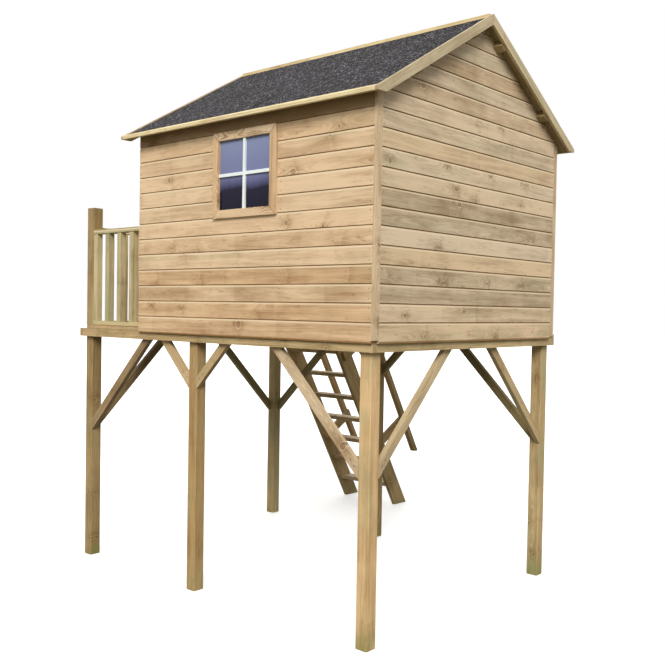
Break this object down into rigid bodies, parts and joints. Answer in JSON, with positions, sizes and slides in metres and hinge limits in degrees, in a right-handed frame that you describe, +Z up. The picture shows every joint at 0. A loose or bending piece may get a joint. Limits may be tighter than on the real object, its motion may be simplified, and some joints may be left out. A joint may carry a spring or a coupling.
{
  "type": "raised playhouse",
  "caption": "Boarded playhouse cabin with a gable roof on a braced post platform, with a railed porch, a door, a window and a ladder with handrails.",
  "frame": {"origin": "on the ground under the middle of the whole object's box, between the cabin, the porch and the ladder", "axes": "+Z up; +X along the ridge from the porch towards the plain gable; +Y from the window wall towards the rear wall and the ladder's foot"},
  "size_m": [2.5172, 2.9224, 3.1638],
  "materials": {
    "frame_wood": "planed, pressure-treated softwood",
    "cladding_wood": "planed, pressure-treated softwood boards with V joints",
    "gable_wood": "planed, pressure-treated softwood boards with V joints",
    "trim_wood": "planed softwood",
    "deck_wood": "planed, pressure-treated softwood",
    "mineral_felt": "bitumen felt with mineral granules, matte",
    "bar_paint": "pale satin paint",
    "clear_pane": "clear, glossy",
    "zinc_steel": "zinc plated"
  },
  "bodies": {
    "root": {"post_front_porch": "frame_wood", "post_front_middle": "frame_wood", "post_front_corner": "frame_wood", "post_rear_porch": "frame_wood", "post_rear_middle": "frame_wood", "post_rear_corner": "frame_wood", "beam_porch_end": "frame_wood", "beam_front": "frame_wood", "beam_rear": "frame_wood", "beam_gable_end": "frame_wood", "brace_front_porch_right": "frame_wood", "brace_front_middle_left": "frame_wood", "brace_front_middle_right": "frame_wood", "brace_front_corner_left": "frame_wood", "brace_rear_porch_right": "frame_wood", "brace_rear_middle_left": "frame_wood", "brace_rear_middle_right": "frame_wood", "brace_rear_corner_left": "frame_wood", "brace_front_porch_cross": "frame_wood", "brace_rear_porch_cross": "frame_wood", "brace_front_corner_cross": "frame_wood", "brace_rear_corner_cross": "frame_wood", "cabin_floor": "deck_wood", "porch_deck": "deck_wood", "railing_front": "frame_wood", "railing_end": "frame_wood", "wall_window_side": "cladding_wood", "wall_rear": "cladding_wood", "wall_plain_gable": "gable_wood", "wall_porch_gable": "gable_wood", "window_trim": "trim_wood", "window_pane": "clear_pane", "window_bars": "bar_paint", "door_trim": "trim_wood", "hinge_lower_plate": "zinc_steel", "hinge_upper_plate": "zinc_steel", "ladder_stringer_left": "frame_wood", "ladder_stringer_right": "frame_wood", "ladder_tread_1": "deck_wood", "ladder_tread_2": "deck_wood", "ladder_tread_3": "deck_wood", "ladder_tread_4": "deck_wood", "ladder_tread_5": "deck_wood", "ladder_tread_6": "deck_wood", "ladder_tread_7": "deck_wood", "ladder_handrail_left": "frame_wood", "ladder_handrail_right": "frame_wood", "roof_panel_front": "gable_wood", "roof_panel_rear": "gable_wood", "roof_felt": "mineral_felt", "bargeboards_porch_end": "trim_wood", "bargeboards_gable_end": "trim_wood", "eave_batten_front": "trim_wood", "eave_batten_rear": "trim_wood", "ridge_batten": "trim_wood"},
    "door": {"door_leaf": "trim_wood", "hinge_lower_strap": "zinc_steel", "hinge_upper_strap": "zinc_steel", "door_knob": "trim_wood"},
    "turn_button": {"turn_button": "trim_wood"}
  },
  "joints": [
    {"name": "door_hinge", "type": "hinge", "parent": "root", "child": "door", "pos_m": [-0.6219, -0.7657, 2.0513], "axis": [0, 0, 1], "range_deg": [0, 150]},
    {"name": "turn_button_pivot", "type": "hinge", "parent": "root", "child": "turn_button", "pos_m": [-0.6219, -0.2187, 2.1183], "axis": [1, 0, 0], "range_deg": [0, 90]}
  ]
}
